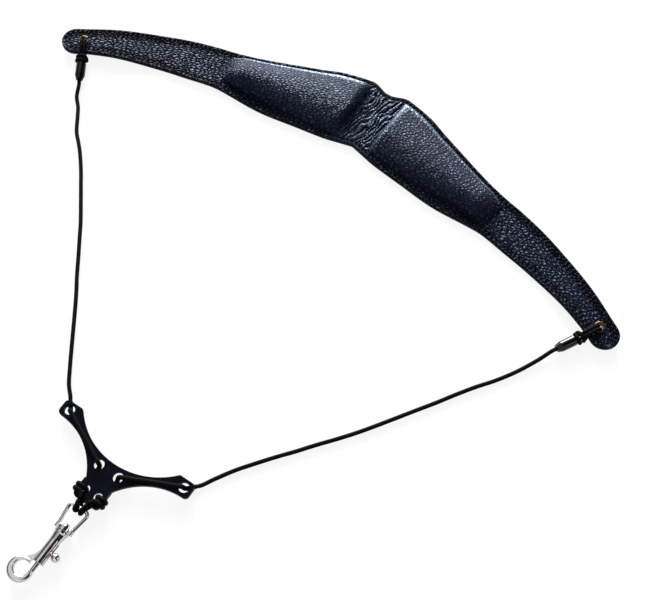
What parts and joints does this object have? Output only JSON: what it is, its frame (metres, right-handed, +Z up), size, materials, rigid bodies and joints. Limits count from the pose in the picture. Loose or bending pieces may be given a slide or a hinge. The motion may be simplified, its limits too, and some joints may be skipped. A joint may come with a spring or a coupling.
{
  "type": "saxophone neck strap",
  "caption": "Padded leather neck band with brass eyelets, braided cords hitched to its ends, a curved cord-slide yoke and a nickel swivel bolt snap that carries the instrument.",
  "frame": {"origin": "centre of the bounding box, on the table it lies on", "axes": "+X along the neck band towards the picture's right, +Y from the hook to the band, +Z up from the table"},
  "size_m": [0.4818, 0.4511, 0.013],
  "materials": {
    "face_leather": "pebble grain, semi-gloss",
    "lining_leather": "smooth, matt",
    "foam": "foam",
    "eyelet_brass": "polished",
    "thin_cord": "braided",
    "sleeve_plastic": "glossy",
    "cord": "braided",
    "yoke_black": "satin",
    "nickel": "polished nickel",
    "spring_steel": "drawn wire"
  },
  "bodies": {
    "strap": {"band_face": "face_leather", "band_lining": "lining_leather", "left_cushion": "foam", "right_cushion": "foam", "left_eyelet": "eyelet_brass", "right_eyelet": "eyelet_brass", "left_washer": "eyelet_brass", "right_washer": "eyelet_brass", "left_hitch": "thin_cord", "right_hitch": "thin_cord", "left_sleeve": "sleeve_plastic", "right_sleeve": "sleeve_plastic", "left_cord": "cord", "right_cord": "cord"},
    "yoke": {"yoke_plate": "yoke_black", "left_arm_cord": "cord", "right_arm_cord": "cord", "left_edge_wrap": "cord", "right_edge_wrap": "cord", "left_tail_wrap": "cord", "right_tail_wrap": "cord"},
    "loops": {"left_ring_loop": "cord", "right_ring_loop": "cord"},
    "eye": {"swivel_eye": "nickel"},
    "hook": {"hook_body": "nickel", "swivel_stud": "nickel", "bolt_spring": "spring_steel"},
    "bolt": {"bolt": "nickel", "bolt_knob": "nickel"}
  },
  "joints": [
    {"name": "yoke_slide", "type": "slide", "parent": "strap", "child": "yoke", "axis": [0, 1, 0], "range_m": [0, 0.1], "deforming": ["left_cord", "right_cord"]},
    {"name": "loop_feed", "type": "slide", "parent": "yoke", "child": "loops", "axis": [0, 1, 0], "range_m": [-0.04, 0], "deforming": ["left_ring_loop", "right_ring_loop"]},
    {"name": "ring_swing", "type": "hinge", "parent": "loops", "child": "eye", "pos_m": [0.0049, -0.163, 0.00525], "axis": [1, 0, 0], "range_deg": [-100, 100]},
    {"name": "hook_swivel", "type": "hinge", "parent": "eye", "child": "hook", "pos_m": [0.0049, -0.18, 0.00525], "axis": [0, 1, 0], "continuous": true},
    {"name": "bolt_slide", "type": "slide", "parent": "hook", "child": "bolt", "axis": [0, 1, 0], "range_m": [0, 0.0064], "stiffness_N_per_m": 300, "springref_m": -0.004, "deforming": ["bolt_spring"]}
  ],
  "couplings": [
    {"joint": "loop_feed", "follows": "yoke_slide", "ratio": -0.4}
  ]
}
